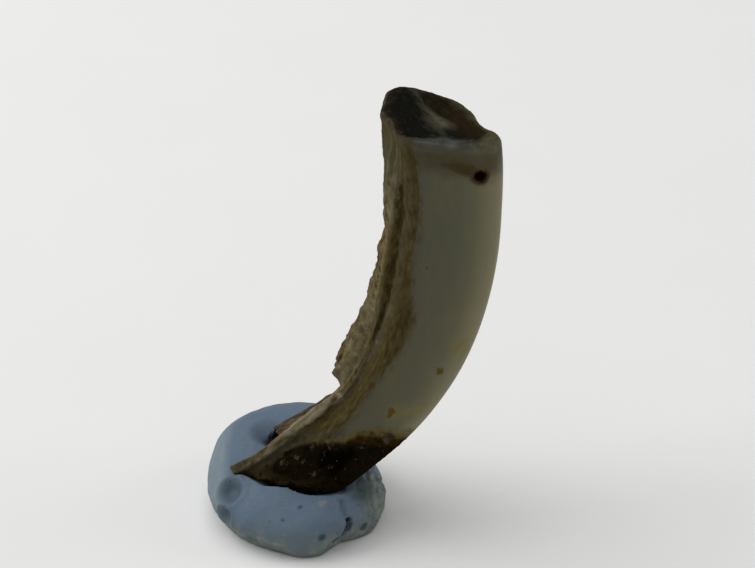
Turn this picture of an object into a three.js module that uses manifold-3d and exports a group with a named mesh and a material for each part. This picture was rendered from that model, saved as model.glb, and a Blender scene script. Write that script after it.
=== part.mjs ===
// A wombat's cheek tooth, stood up in a pressed lump of blue putty.
// Millimetres, +Z up. The origin is the middle of the putty's flat underside.
// The tooth is a slice of a ring that bends in the XZ plane: its worn crown is up, over +X, and its open,
// growing end is down in the putty. Two lobes lie side by side along Y, with a groove between them.

import * as THREE from 'three';
import { LoftGeometry } from 'three/addons/geometries/LoftGeometry.js';
import { mergeVertices } from 'three/addons/utils/BufferGeometryUtils.js';
import Module from 'manifold-3d';

const { clamp, degToRad, lerp, radToDeg, smoothstep } = THREE.MathUtils;

// Tooth: driving dimensions
const BEND_CENTRE_X = -18.4; // the bend's axis runs along Y through here
const BEND_CENTRE_Z = 30.1;
const BEND_RADIUS = 34.65; // to the convex side
const CROWN_WIDTH = 8.75; // convex side to concave ridge, at the crown
const ROOT_WIDTH = 6.6; // the same at the growing end
const WIDTH_FADE = [50, 80]; // the width grows between these degrees of bend
const CROWN_DEG = 101.9; // bend at the crown's middle, counted from straight down
const CROWN_TILT_DEG = 3.6; // the crown is worn level, so the bend differs by this over its width
const ROOT_DEG = 41.2; // bend at the growing end, convex side
const ROOT_SLANT_DEG = 12.7; // the growing end reaches this much further on the concave side
const ROOT_SHRINK = 0.94; // the lobes are this much thinner across at the growing end

// The outline across the tooth at the crown's width: mm in from the convex side, and mm along Y.
// It runs anticlockwise as seen from above. Cement covers part of the concave side; bare is the surface under it.
const OUTLINE = [
  { at: [0.75, -4.62] }, // near face, convex corner
  { at: [-0.12, -4.2] },
  { at: [-0.08, -3.45] },
  { at: [0.6, -2.3] },
  { at: [1.2, -1.35] }, // shallow groove between the lobes
  { at: [1.5, -0.3] },
  { at: [1.7, 0.9] },
  { at: [2.6, 2.75] },
  { at: [4, 3.85] }, // far face
  { at: [5.5, 4.7], bare: [5.2, 4.45] },
  { at: [6.95, 5.15], bare: [6.1, 4.45] },
  { at: [7.55, 4.6], bare: [6.7, 3.8] },
  { at: [7.95, 3.5], bare: [7, 3] }, // far lobe's concave ridge
  { at: [8.1, 2.2], bare: [6.9, 2] },
  { at: [8.2, 0.9], bare: [5.9, 1], groove: true },
  { at: [8.2, -0.2], bare: [5.6, 0], groove: true }, // deep groove between the lobes
  { at: [8.25, -1.1], bare: [7.5, -1.05], groove: true },
  { at: [8.4, -1.8], bare: [8.7, -1.75] }, // near lobe's concave ridge
  { at: [8.15, -2.45] },
  { at: [7.7, -2.5] }, // fine groove beside it
  { at: [7.25, -3.1] },
  { at: [6.7, -3.72] }, // near face, concave corner
  { at: [5.7, -4.06] },
  { at: [4.2, -4.28] },
  { at: [2.4, -4.5] },
];
const STEPS_PER_SPAN = 3; // points that an outline's curve gets between two of these
const CORE = [0.47 * CROWN_WIDTH, 0.2]; // middle of the outline

// The cement ends in a broken step; from there to the crown it stands out less and less
const CEMENT_END_DEG = 52;
const CEMENT_BREAK_DEG = 2.5;
const CEMENT_SWELL = [1.4, 0.1]; // mm, at its end and at the crown
const CEMENT_FULL = 1.2; // mm of cement, from which it swells in full

// Worn crown: two dentine hollows with a crest between them, in mm from the core
const NEAR_HOLLOW = { x: -2, y: -1.6, reach: 1.9, depth: 1 };
const FAR_HOLLOW = { x: 0.3, y: 1.9, reach: 1.3, depth: 0.6 };
const CREST = { from: [-2.3, 4], to: [1.1, -1.35], reach: 0.45, height: 0.5 };
const RIM_SHARE = 0.4; // the relief starts at the rim and is full this far in

// Open pulp cavity at the growing end
const PULP_SHARE = 0.5; // of the outline, at the rim
const PULP_TOP_DEG = 54;

const WALL_ROWS = 31;
const CROWN_ROWS = 8;
const PULP_ROWS = 6;
const SOCKET_ROWS = 14;

// Putty: driving dimensions
const PUTTY_HALF = new THREE.Vector3(7.4, 8.1, 4.15);
const PUTTY_MIDDLE = new THREE.Vector3(0, 0.3, 1.5);
const PUTTY_SQUARENESS = 0.6; // 1 is an ellipsoid, less is more like a puck
const PUTTY_BACK_RISE = 0.27; // the height grows towards +Y by this share of itself
const PUTTY_SEGMENTS = [48, 28];
// Finger marks and bulges: where, how wide and how deep in mm; a bulge is negative
const PUTTY_MARKS = [
  { at: [-6.2, -4.2, 3], reach: 1.4, depth: 1 },
  { at: [-5.8, -6, 0.4], reach: 2.4, depth: 1 },
  { at: [-3.6, -6.6, 4.4], reach: 1, depth: -0.3 },
  { at: [4.4, -6.6, 0.2], reach: 1.5, depth: 1 },
  { at: [7.2, -2.2, 2.6], reach: 2, depth: -0.3 },
  { at: [-6.2, 4, 5], reach: 2.4, depth: -0.35 },
  { at: [7.4, 0.8, 0.4], reach: 2.2, depth: -0.3 },
];
const SOCKET_GROWTH = 1.09; // the socket is the bare outline, this much larger and without the deep groove
const SOCKET_DROP_DEG = 0.6; // and this much deeper
const SOCKET_TOP_DEG = 72; // it is cut up to here

const wasm = await Module();
wasm.setup();

// A smooth closed curve through corners, as a list of points [mm in from the convex side, mm along Y]
function smoothOutline(corners) {
  const knots = corners.map(([inward, across]) => new THREE.Vector3(inward, across, 0));
  const curve = new THREE.CatmullRomCurve3(knots, true, 'centripetal');
  const count = corners.length * STEPS_PER_SPAN;
  return Array.from({ length: count }, (_, i) => curve.getPoint(i / count)).map(({ x, y }) => [x, y]);
}

const coveredOutline = smoothOutline(OUTLINE.map(({ at }) => at));
const bareOutline = smoothOutline(OUTLINE.map(({ at, bare = at }) => bare));
const socketOutline = smoothOutline(OUTLINE.filter(({ groove }) => !groove).map(({ at, bare = at }) => bare));

// An outline drawn in or out about its core
function drawn(outline, scale) {
  return outline.map((point) => point.map((value, axis) => lerp(CORE[axis], value, scale)));
}

// A point on the ring from its place in the outline and its bend
function ringPoint([inward, across], deg) {
  const grown = smoothstep(deg, ...WIDTH_FADE);
  const radius = BEND_RADIUS - inward * (lerp(ROOT_WIDTH, CROWN_WIDTH, grown) / CROWN_WIDTH);
  const bend = degToRad(deg);
  return new THREE.Vector3(
    BEND_CENTRE_X + radius * Math.sin(bend),
    across * lerp(ROOT_SHRINK, 1, grown),
    BEND_CENTRE_Z - radius * Math.cos(bend),
  );
}

// The growing end is cut on a slant, the crown level
const rootDeg = ([inward]) => ROOT_DEG - (ROOT_SLANT_DEG * inward) / CROWN_WIDTH;
const crownDeg = ([inward]) => CROWN_DEG + (CROWN_TILT_DEG * (inward - CORE[0])) / CROWN_WIDTH;

// The tooth's surface, with the crust of cement where it is whole
function wallRing(part) {
  return coveredOutline.map(([inward, across], i) => {
    const bare = bareOutline[i];
    const deg = lerp(rootDeg(bare), crownDeg([inward, across]), part);
    const whole = smoothstep(deg, CEMENT_END_DEG - CEMENT_BREAK_DEG, CEMENT_END_DEG);
    const towardsCrown = smoothstep(deg, CEMENT_END_DEG, CROWN_DEG);
    const coat = clamp((inward - bare[0]) / CEMENT_FULL, 0, 1);
    const swollen = inward + coat * lerp(...CEMENT_SWELL, towardsCrown);
    return ringPoint([lerp(bare[0], swollen, whole), lerp(bare[1], across, whole)], deg);
  });
}

function hump(offset, reach) {
  return Math.exp(-(offset * offset) / (2 * reach * reach));
}

// Height of the worn crown above its rim, in mm
function crownRelief([inward, across]) {
  const here = new THREE.Vector3(CORE[0] - inward, across - CORE[1], 0);
  const hollow = ({ x, y, reach, depth }) => depth * hump(Math.hypot(here.x - x, here.y - y), reach);
  const crestLine = new THREE.Line3(new THREE.Vector3(...CREST.from, 0), new THREE.Vector3(...CREST.to, 0));
  const onCrest = crestLine.closestPointToPoint(here, true, new THREE.Vector3());
  return CREST.height * hump(onCrest.distanceTo(here), CREST.reach) - hollow(NEAR_HOLLOW) - hollow(FAR_HOLLOW);
}

function crownRing(inset) {
  const shown = smoothstep(inset, 0, RIM_SHARE);
  return drawn(coveredOutline, 1 - inset).map((point) => {
    const rise = (shown * crownRelief(point)) / (BEND_RADIUS - point[0]);
    return ringPoint(point, crownDeg(point) + radToDeg(rise));
  });
}

function pulpRing(depth) {
  const scale = PULP_SHARE * (1 - depth * depth);
  return drawn(bareOutline, scale).map((point) => ringPoint(point, lerp(rootDeg(point), PULP_TOP_DEG, depth)));
}

// The first ring, high in the cavity, and the last, in the middle of the crown, each close to one point
function toothGeometry() {
  const rings = [];
  for (let i = PULP_ROWS; i >= 0; i--) rings.push(pulpRing(i / PULP_ROWS));
  for (let i = 0; i <= WALL_ROWS; i++) rings.push(wallRing(i / WALL_ROWS));
  for (let i = 1; i <= CROWN_ROWS; i++) rings.push(crownRing(i / CROWN_ROWS));
  return new LoftGeometry(rings);
}

function socketRing(part, scale) {
  return drawn(socketOutline, scale).map((point) => {
    return ringPoint(point, lerp(rootDeg(point) - SOCKET_DROP_DEG, SOCKET_TOP_DEG, part));
  });
}

// The space in the putty round the tooth's growing end, closed to a point at both ends
function socketGeometry() {
  const rings = [socketRing(0, 0)];
  for (let i = 0; i <= SOCKET_ROWS; i++) rings.push(socketRing(i / SOCKET_ROWS, SOCKET_GROWTH));
  rings.push(socketRing(1, 0));
  return new LoftGeometry(rings);
}

// A sphere pressed flat underneath, higher at the back, with finger marks in it
function puttyGeometry() {
  const geometry = new THREE.SphereGeometry(1, ...PUTTY_SEGMENTS).rotateX(Math.PI / 2);
  const place = geometry.getAttribute('position');
  const squared = (value) => Math.sign(value) * Math.abs(value) ** PUTTY_SQUARENESS;
  const point = new THREE.Vector3();
  const outward = new THREE.Vector3();
  for (let i = 0; i < place.count; i++) {
    outward.fromBufferAttribute(place, i);
    const flat = Math.hypot(outward.x, outward.y) || 1;
    point.set((outward.x / flat) * squared(flat), (outward.y / flat) * squared(flat), squared(outward.z));
    const rise = 1 + PUTTY_BACK_RISE * point.y;
    point.multiply(PUTTY_HALF).add(PUTTY_MIDDLE);
    point.z *= rise;
    for (const { at, reach, depth } of PUTTY_MARKS) {
      const off = point.distanceTo(new THREE.Vector3(...at));
      point.addScaledVector(outward, -depth * hump(off, reach));
    }
    place.setXYZ(i, point.x, point.y, Math.max(point.z, 0));
  }
  return geometry;
}

// A geometry as a solid, with its shared corners merged and its collapsed triangles left out
function solidOf(geometry) {
  const bare = new THREE.BufferGeometry().setIndex(geometry.index);
  bare.setAttribute('position', geometry.getAttribute('position'));
  const merged = mergeVertices(bare, 1e-4);
  const corners = merged.index.array;
  const kept = [];
  for (let i = 0; i < corners.length; i += 3) {
    const triangle = [...corners.slice(i, i + 3)];
    if (new Set(triangle).size === 3) kept.push(...triangle);
  }
  return new wasm.Manifold(new wasm.Mesh({
    numProp: 3,
    vertProperties: merged.getAttribute('position').array,
    triVerts: new Uint32Array(kept),
  }));
}

function geometryOf(solid) {
  const { vertProperties, triVerts } = solid.getMesh();
  const geometry = new THREE.BufferGeometry();
  geometry.setAttribute('position', new THREE.BufferAttribute(vertProperties, 3));
  geometry.setIndex(new THREE.BufferAttribute(triVerts, 1));
  geometry.computeVertexNormals();
  return geometry;
}

const tooth = new THREE.Mesh(
  geometryOf(solidOf(toothGeometry())),
  new THREE.MeshStandardMaterial({ color: 0x46443a, roughness: 0.4, metalness: 0 }),
);
tooth.name = 'tooth';

const putty = new THREE.Mesh(
  geometryOf(solidOf(puttyGeometry()).subtract(solidOf(socketGeometry()))),
  new THREE.MeshStandardMaterial({ color: 0x5c6a78, roughness: 0.75, metalness: 0 }),
);
putty.name = 'putty';

const toothInPutty = new THREE.Group();
toothInPutty.add(tooth, putty);

export default toothInPutty;
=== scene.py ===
import math
import bpy
import numpy as np
from mathutils.bvhtree import BVHTree
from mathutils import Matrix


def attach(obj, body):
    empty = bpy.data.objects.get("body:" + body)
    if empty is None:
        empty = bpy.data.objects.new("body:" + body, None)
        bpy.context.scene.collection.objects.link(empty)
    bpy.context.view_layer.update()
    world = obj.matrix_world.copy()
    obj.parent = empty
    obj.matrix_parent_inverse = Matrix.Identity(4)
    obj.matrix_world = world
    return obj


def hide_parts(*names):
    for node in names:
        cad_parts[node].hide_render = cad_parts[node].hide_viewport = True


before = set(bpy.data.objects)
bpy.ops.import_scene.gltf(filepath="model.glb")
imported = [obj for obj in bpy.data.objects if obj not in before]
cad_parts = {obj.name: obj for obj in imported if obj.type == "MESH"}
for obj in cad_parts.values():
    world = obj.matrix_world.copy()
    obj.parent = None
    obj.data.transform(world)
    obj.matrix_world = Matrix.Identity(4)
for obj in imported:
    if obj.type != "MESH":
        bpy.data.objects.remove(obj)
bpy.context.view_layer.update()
print("frame:", sorted(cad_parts))
scene = bpy.context.scene
metre = 0.001  # everything below is worked out in millimetres


def linear(hexColour):  # sRGB hex to linear colour
    parts = [int(hexColour[i:i + 2], 16) / 255 for i in (1, 3, 5)]
    return [v / 12.92 if v <= 0.04045 else ((v + 0.055) / 1.055) ** 2.4 for v in parts] + [1]


def addNode(tree, kind, inputs=None, **settings):
    made = tree.nodes.new(kind)
    for name, value in settings.items():
        setattr(made, name, value)
    for name, value in (inputs or {}).items():
        if isinstance(value, bpy.types.Node):
            value = value.outputs[0]
        if isinstance(value, bpy.types.NodeSocket):
            tree.links.new(value, made.inputs[name])
        else:
            made.inputs[name].default_value = value
    return made


def addMath(tree, operation, *values):
    return addNode(tree, "ShaderNodeMath", dict(enumerate(values)), operation=operation)


def mixColours(tree, share, first, second, blend="MIX"):  # of hex colours or nodes
    first, second = (linear(tone) if isinstance(tone, str) else tone for tone in (first, second))
    inputs = {"Fac": share, "Color1": first, "Color2": second}
    return addNode(tree, "ShaderNodeMixRGB", inputs, blend_type=blend)


def lerp(a, b, share):
    return a + (b - a) * share


def ease(value, start, end):  # 0 before start, 1 after end, smooth between
    share = np.clip((value - start) / (end - start), 0, 1)
    return share * share * (3 - 2 * share)


def growing(value, low, high, start, end):  # low before start, high after end
    return lerp(low, high, ease(value, start, end))


def between(value, rise, fall):  # 1 between the two ranges, smooth in both
    return ease(value, *rise) * (1 - ease(value, *fall))


def lengths(vectors):
    return np.linalg.norm(vectors, axis=-1)


def hump(offset, reach):
    return np.exp(-offset ** 2 / (2 * reach ** 2))


def lumps(place, size, seed):  # smooth noise, about -1 to 1, with lumps of that size
    place = np.asarray(place, float) / size + 19.19 * seed
    cell = np.floor(place)
    part = place - cell
    soft = part ** 3 * (part * (part * 6 - 15) + 10)
    total = np.zeros(place.shape[:-1])
    mixer = np.array([[127.1, 269.5, 113.5], [311.7, 183.3, 271.9], [74.7, 246.1, 124.6]])
    for corner in np.ndindex(2, 2, 2):
        corner = np.array(corner)
        slope = 2 * np.modf(np.abs(np.sin((cell + corner) @ mixer)) * 43758.5453)[0] - 1
        weight = np.where(corner, soft, 1 - soft).prod(-1)
        total += weight * ((part - corner) * slope).sum(-1)
    return 1.7 * total


def layeredLumps(place, kinds):  # mm high, mm wide, seed
    return sum(height * lumps(place, size, seed) for height, size, seed in kinds)


def alongLine(corners, value):  # y of a line of (x, y) corners at value
    return np.interp(value, *np.array(corners, float).T)


def distanceTo(points, line):  # from points to a line of corners
    near = np.full(points.shape[:-1], 1e9)
    for start, end in zip(line[:-1], line[1:]):
        start, run = np.array(start, float), np.subtract(end, start).astype(float)
        share = np.clip((points - start) @ run / (run @ run), 0, 1)
        near = np.minimum(near, lengths(points - start - share[..., None] * run))
    return near


def newPiece(name, points, faces, fields=None, materials=(), unit=metre):
    mesh = bpy.data.meshes.new(name)
    mesh.from_pydata((np.asarray(points) * unit).tolist(), [], [list(map(int, face)) for face in faces])
    for field, values in (fields or {}).items():
        values = np.asarray(values, np.float32)
        kind, slot = ("FLOAT_VECTOR", "vector") if values.ndim == 2 else ("FLOAT", "value")
        mesh.attributes.new(field, kind, "POINT").data.foreach_set(slot, values.ravel())
    mesh.shade_smooth()
    for material in materials:
        mesh.materials.append(material)
    piece = bpy.data.objects.new(name, mesh)
    scene.collection.objects.link(piece)
    return piece


def closedGrid(rings):  # points and faces of rings whose first and last close to one point each
    rowCount, count = rings.shape[:2]
    ends = [ring.mean(1) for ring in (rings[:1], rings[-1:])]
    points = np.concatenate([rings[1:-1].reshape(-1, rings.shape[2]), *ends])
    here = np.arange((rowCount - 2) * count).reshape(rowCount - 2, count)
    beside = np.roll(here, -1, 1)
    faces = np.stack([here[:-1], beside[:-1], beside[1:], here[1:]], -1).reshape(-1, 4).tolist()
    low, high = len(points) - 2, len(points) - 1
    faces += [[low, b, a] for a, b in zip(here[0], beside[0])]
    faces += [[high, a, b] for a, b in zip(here[-1], beside[-1])]
    return points, faces


# tooth: a slice of a ring that bends in the XZ plane
tooth = {
    "bendCentre": (-18.4, 30.1),  # x and z of the bend's axis
    "bendRadius": 34.65,  # to the convex side
    "crownWidth": 8.75,
    "rootWidth": 6.6,
    "widthFade": (50, 80),  # degrees of bend
    "crownDeg": 101.9,
    "crownTilt": 3.6,
    "rootDeg": 41.2,
    "rootSlant": 12.7,
    "rootShrink": 0.94,
    "cementEnd": 53,
    "cementBreak": 1.4,
    "cementTear": (2.4, 0.9, -4.5, -2.5),  # degrees on the far and near lobes, and mm round between them
    "cementThick": 1.2,  # mm from which it swells in full
    "cementSwell": [
        (52, 1.65), (60, 1.3), (66, 0.92), (72, 0.42), (80, 0.25), (86, 0.55), (92, 0.62), (97, 0.58),
        (102, 0.25),
    ],
    "heelLift": [(33, 0), (38, 0.42), (42, 0.6), (46, 0.55), (50, 0.15), (53, 0)],  # of the near ridge
    "heelReach": ((-1.7, -0.4), (0.2, 1.7)),  # mm round over which that lift comes and goes
    "farLift": [(36, 0.25), (40, 0), (44, -0.45), (48, -0.75), (52, -0.4), (55, 0)],  # of the far lobe
    "farReach": ((-8, -6), (-2.2, -1.2)),
    "lowTaper": (0.6, 43, 59),  # convex side drawn in low down: mm, and degrees between which it goes
    "topFlare": (0.38, 89, 103),  # and out again at the crown
    "midSwell": (0.2, 67, 7),  # mm, at which degree, reach
    "convexReach": 3.5,  # mm in from the convex side
    "bevelFade": (90, 101),
    "crestRise": (0.4, 0.5),  # mm high and wide
    "crownHollows": [((-2, -1.4), 1.8, 0.9), ((0.3, 1.9), 1.3, 0.6)],  # mm from the core, reach, depth
    "reliefFade": (0, 0.4),  # share of the way from the rim to the core
    "dipFade": (0, 0.5),
    "rimDip": [  # mm round, mm down
        (-14.6, 0), (-12, -0.1), (-10, -0.2), (-8, -0.32), (-6, -0.3), (-4, -0.1), (-3, 0), (3.3, 0),
        (5, 0.1), (6.2, 0.15), (7.4, 0.05), (8.5, -0.1), (10, -0.1), (14.6, 0),
    ],
    "rimRadius": [  # of the rounded rim: mm round, mm
        (-14.6, 0.35), (-5, 0.3), (-1, 0.25), (1.5, 0.25), (2.5, 0.5), (4, 0.85), (7, 0.85), (8.5, 0.5),
        (10, 0.4), (14.6, 0.35),
    ],
    "endLift": [  # mm round, degrees by which the growing end is broken back
        (-9, 0), (-7, 1.6), (-5, 4), (-3, 4.3), (-1.7, 3), (-0.8, -1.3), (0, -0.8), (0.8, -1.5),
        (1.4, -0.8), (2, -0.2), (2.8, 0.3), (3.8, 0.8), (5.3, 1.1), (7.1, 0.25), (8.8, 0),
    ],
    "pulpShare": 0.5,
    "pulpTop": 54,
    "endShares": (0.95, 0.985),  # of the outline: where the end is fully broken back, and its last row
    "rows": {"pulp": 10, "end": 8, "wall": 236, "crown": 46},
    "steps": 12,  # columns between two corners of the outline
}
degree = 0.56  # mm along the tooth for one degree of bend
endRim = -60  # stands for the open end, far below the crown's rim
# outline across the tooth: mm in from the convex side and along Y
outline = [
    (0.95, -4.46), (0.02, -3.98), (-0.1, -3.3), (0.55, -2.3), (1.05, -1.35), (1.35, -0.3), (1.62, 0.9),
    (2.6, 2.75), (4, 3.85), (5.5, 4.7), (6.95, 5.15), (7.55, 4.6), (7.95, 3.5), (8.1, 2.2), (8.2, 0.9),
    (8.2, -0.2), (8.25, -1.1), (8.4, -1.8), (8.15, -2.45), (7.7, -2.5), (7.25, -3.1), (6.7, -3.72),
    (5.7, -4.06), (4.2, -4.3), (2.4, -4.54),
]
underCement = {  # corners that differ where the cement has broken off
    9: (5.1, 4.35), 10: (5.9, 4.35), 11: (6.5, 3.75), 12: (7.1, 2.95), 13: (7.05, 1.95), 14: (6.2, 1),
    15: (5.6, 0), 16: (7.5, -1.05), 17: (8.7, -1.75),
}
crownBevel = {  # and at the crown
    15: (7.7, -0.2), 16: (7.5, -1.1), 17: (7.45, -1.8), 18: (7.35, -2.4), 19: (7.3, -2.75), 20: (7.2, -3.1),
}
ridgeCorner = 17  # the surface is measured round from the near lobe's concave ridge, + over the near face
core = np.array([0.47 * tooth["crownWidth"], 0.2])  # middle of the outline
# lines on the near side: degrees of bend, and mm round from the ridge
toothLines = {
    "ridge": [
        (29, 0.1), (46, 0), (51, -0.45), (57, -0.8), (61, -0.7), (70, -0.45), (80, -0.5), (92, -0.3),
        (104, 0),
    ],
    "groove": [
        (30, 0.2), (35, 0.3), (42, 0.75), (45, 0.95), (48, 0.9), (51, 0.5), (54, 0.15), (57, 0.45),
        (63.8, 0.82), (68, 1.1), (72, 1.3), (82, 1.3), (91, 1.4), (104, 1.55),
    ],
    "grooveWidth": [
        (62, 0.14), (67, 0.19), (80, 0.19), (84, 0.14), (87, 0.27), (93, 0.27), (95, 0.14),
    ],
    "grooveShown": [  # how clear it is
        (30, 0.3), (40, 0.4), (46, 0.6), (50, 0.55), (58, 0.55), (63, 1), (75, 1), (82, 0.8), (84, 0.3),
        (85.5, 0.3), (86.5, 0.9), (93, 0.9), (94.5, 0.4), (96.5, 0.3), (98, 0.5),
    ],
    "stripe": [  # pale line beside the groove
        (30, 0.6), (45, 0.85), (53, 0.71), (60, 1.1), (64.4, 1.4), (68.6, 1.6), (73.2, 2.13), (77, 2.27),
        (82.5, 2), (86, 2.13), (92, 2.4), (104, 2.27),
    ],
    "edge": [  # of the bare enamel
        (45, 3.2), (50.5, 3.1), (57, 3.05), (63.7, 3.73), (68, 4.2), (71.6, 4.3), (75, 3.73), (78, 3.36),
        (83.5, 3.1), (87, 3.25), (92, 3.36), (104, 3.4),
    ],
    "strip": [  # grey, along the stain
        (29, 0.7), (31, 0.8), (33.5, 1.15), (36, 1.1), (38, 1), (40.7, 1.15), (44.6, 2.2), (47.6, 3.4),
        (50, 4.4),
    ],
    "stripWidth": [(29, 0.3), (33.5, 0.45), (36, 0.42), (38, 0.3), (41, 0.35), (46, 0.5)],
}
palenessAndPaintedLight = [  # of the enamel: mm round, share of the pale tone, which towards the convex side is partly painted light
    (-14.6, 0.6), (-12, 0.5), (-9, 0.4), (1, 0.1), (3, 0), (5, 0.08), (6.5, 0.14), (7.6, 0.28), (8.8, 0.66),
    (10, 0.95), (12, 0.8), (14.6, 0.6),
]
shadeReach = [  # of the brown under the crown's rim
    (1.5, 0), (2.5, 1), (5, 0.8), (6.5, 0.9), (9, 0.8), (10.5, -0.2), (12, -1),
]
stainTop = [  # mm round from the ridge, and degrees up to which the end is stained
    (-14.6, 51), (-12, 47), (-9, 40), (-6.5, 30), (0.6, 27), (1, 31), (1.3, 38), (1.6, 40.5), (2.2, 43),
    (2.6, 44), (3.8, 46), (4.7, 48.7), (5, 49.4), (6.4, 51.2), (8.7, 53), (11, 53.5), (14.6, 51),
]
toothMarks = {  # round marks: degrees of bend, mm round, radius
    "spot": [(96.05, 8, 0.55)],
    "freckle": [(65.3, 7.88, 0.22), (55.9, 5.94, 0.3), (55.2, 6.05, 0.2), (83.5, 3, 0.1), (80.9, 4.3, 0)],
    "yellow": [(58.5, 8, 0.7), (57.3, 7.3, 0.6), (70, 8.6, 0.8), (56, 6.3, 0.6)],
    "chalk": [
        (36.6, 2.2, 0.2), (39.3, 2.62, 0.17), (39.9, 3.36, 0.13), (42.5, 2.69, 0.17), (44.7, 3.82, 0.22),
        (43.5, 3.94, 0.1), (47.1, 4.3, 0.3), (48.3, 6.09, 0.16), (51.5, 7.73, 0.26), (42.7, 5.63, 0.08),
        (39.9, 5.21, 0.22),
    ],
    "murk": [(43.2, 4.6, 0.7), (44.5, 5.6, 0.9), (46, 5.9, 0.6), (42.8, 6.1, 0.7)],  # blackest in the stain
    "hollow": [  # in the cement
        (55, 0.4, 0.15), (56.7, 0.31, 0.15), (54.6, -2.44, 0.35), (72.2, -0.79, 0.13), (74.1, -0.79, 0.12),
        (76, -0.66, 0.13),
    ],
}
chalkClump = 0.6  # radius of the specks round a chalk mark
spotTail = [(98.2, 5.5), (97.9, 6.2), (97.1, 7), (96.2, 7.9)]
crest = [(-1.7, 4), (-0.7, 1.35), (0.2, -0.8), (0.5, -1.65)]  # mm from the core on the worn crown
# pale enamel round the worn crown: mm round, mm in from the rim
rimDepth = [(1.5, -1), (2.6, -0.3), (4, 0.5), (5.2, 1.2), (6.2, 1.2), (7.2, 0.6), (8, 0.2), (9, -0.6)]
cornerDepth = [  # the same at the convex side's corner
    (-14.6, 0.35), (-12, 0.3), (-10.5, 0.05), (-9, -0.4), (-7, -1), (7.4, -1), (8.2, 0.1), (9, 0.8),
    (10, 1.2), (11, 1.1), (12.2, 0.5), (14.6, 0.35),
]
fleckBand = [  # pale scratches on the worn crown, most of them inside the near rim
    (-14.6, -0.05), (-6, 0.05), (-2, 0.1), (2, 0.1), (3, 0.2), (4.5, 0.3), (6, 0.2), (7, 0), (14.6, -0.05),
]
halfWidths = {  # mm before and after a change, and between which values it changes
    "tail": (-0.05, 0.26, 5, 7.3),
    "stripe": (0.24, 0.4, 70, 84),
    "ridge": (0.36, 0.6, 66, 76),
    "crest": (0.42, -0.12, -1, 2.5),
}
concaveSide = ("around", -9, 1)
rampedMarks = {  # each lies inside all its ramps: what is measured, where the ramp is 0, mm for each unit
    "shadeIn": [("rim", -2.8, 1), ("rim", -0.5, -1), ("shade", 0, 1)],
    "bandIn": [("fromEdge", 0, -1), ("around", -9.3, 1)],
    "crustIn": [("fromRidge", -0.35, -1), concaveSide, ("whole", 0.2, 1.2)],
    "flankIn": [("fromGroove", -0.1, -1), concaveSide, ("unevenDeg", 93, 0.16)],
    "paleFlankIn": [("fromGroove", -0.3, -1), concaveSide, ("deg", 85, 0.2), ("deg", 100, -0.2)],
    "heelIn": [("around", 0.8, -1), concaveSide, ("deg", 52, -degree)],
    "heelEdgeIn": [("around", -0.12, 1), ("around", 0.72, -1), ("deg", 51, -0.3), ("deg", 36, 0.3)],
    "tipIn": [("deg", 34.5, -degree), ("around", 0.9, -1)],
    "barkIn": [("around", -0.9, -1), concaveSide, ("tornDeg", 54, -degree)],
    "seamIn": [("fromGroove", -0.2, 1), ("fromGroove", 0.2, -1), ("deg", 51, -degree)],
    "rustIn": [("lift", 1.7, -1), ("around", 0.9, 1), ("around", 5.8, -1)],
    # painted shadow along the tooth's end, for the dark gap between tooth and putty
    "endGapShadowIn": [("aboveEnd", 0.4, -1), ("around", 0.8, 0.6), ("around", 8, -1)],
    "haloIn": [("stain", -0.75, 1), ("around", 3.4, 0.8)],
    "emberIn": [("stain", 1, -1), ("stain", -0.2, 1), ("around", 4.8, 1)],
    "wispIn": [("deg", 72, -0.15), ("deg", 50, 0.3), ("around", -2.8, 0.5), ("fromStripe", 0.3, -0.8)],
    "farIn": [("farSide", 0.3, 1)],
    "sootIn": [("rim", 1.1, -1), ("around", -7.2, 1), ("around", 1.2, -1)],
    "rimIn": [("pastRim", 0, -1), ("rim", -0.5, 1)],
    "cornerIn": [("pastCorner", 0, -1), ("rim", -0.6, 1)],
}
onlyOnWall, onlyOnCrown = ("rustIn", "endGapShadowIn", "haloIn"), ("farIn", "crestIn", "fleckIn", "sootIn")
outside = -3  # of a marking that isn't there
toothRelief = {  # lumps: mm high, mm wide, seed
    "crust": [(0.17, 1.9, 4), (0.14, 0.8, 18), (0.02, 0.27, 6)],
    "ridge": [(0.03, 0.5, 19)],
    "band": [(0.035, 0.7, 8), (0.025, 0.27, 9)],
    "bark": [(0.14, 0.9, 27)],
    "stain": [(0.035, 0.8, 12), (0.025, 0.3, 13)],
    "crown": [(0.05, 0.8, 16), (0.035, 0.3, 17)],
    "rim": [(0.05, 0.9, 15)],
}
toothPits = [(0.12, 0.55, 5)]
toothGrain = {  # long lumps that run along the tooth: mm high, mm long, mm wide, seed
    "ridge": [(0.03, 5, 0.16, 7)],
    "heel": [(0.04, 6, 0.36, 10), (0.025, 4, 0.16, 11)],
    "bark": [(0.12, 2.5, 0.5, 28)],
    "enamel": [(0.02, 5, 3.5, 14)],
}
lineRelief = {"ridge": (0.1, 0.33), "groove": (-0.07, 0.12), "stripe": (0.05, 0.2)}  # mm high, mm wide
markRelief = {"chalkIn": 0.05, "spotIn": -0.05, "hollowIn": -0.12}  # mm high


def smoothOutline(corners, steps):  # closed curve through corners
    here = np.array(corners, float)
    before, after, beyond = (np.roll(here, turn, 0) for turn in (1, -1, -2))
    pairs = ((before, here), (here, after), (after, beyond))
    gaps = [lengths(b - a)[:, None] ** 0.5 for a, b in pairs]

    def slope(a, b, c, first, second):
        return ((b - a) / first - (c - a) / (first + second) + (c - b) / second) * gaps[1]

    leave = slope(before, here, after, gaps[0], gaps[1])
    reach = slope(here, after, beyond, gaps[1], gaps[2])
    share = (np.arange(steps) / steps)[:, None, None]
    curve = here + leave * share + (3 * (after - here) - 2 * leave - reach) * share ** 2
    curve = curve + (2 * (here - after) + leave + reach) * share ** 3
    return curve.transpose(1, 0, 2).reshape(-1, 2)


def changedOutline(changes):
    return smoothOutline([changes.get(i, at) for i, at in enumerate(outline)], tooth["steps"])


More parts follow.
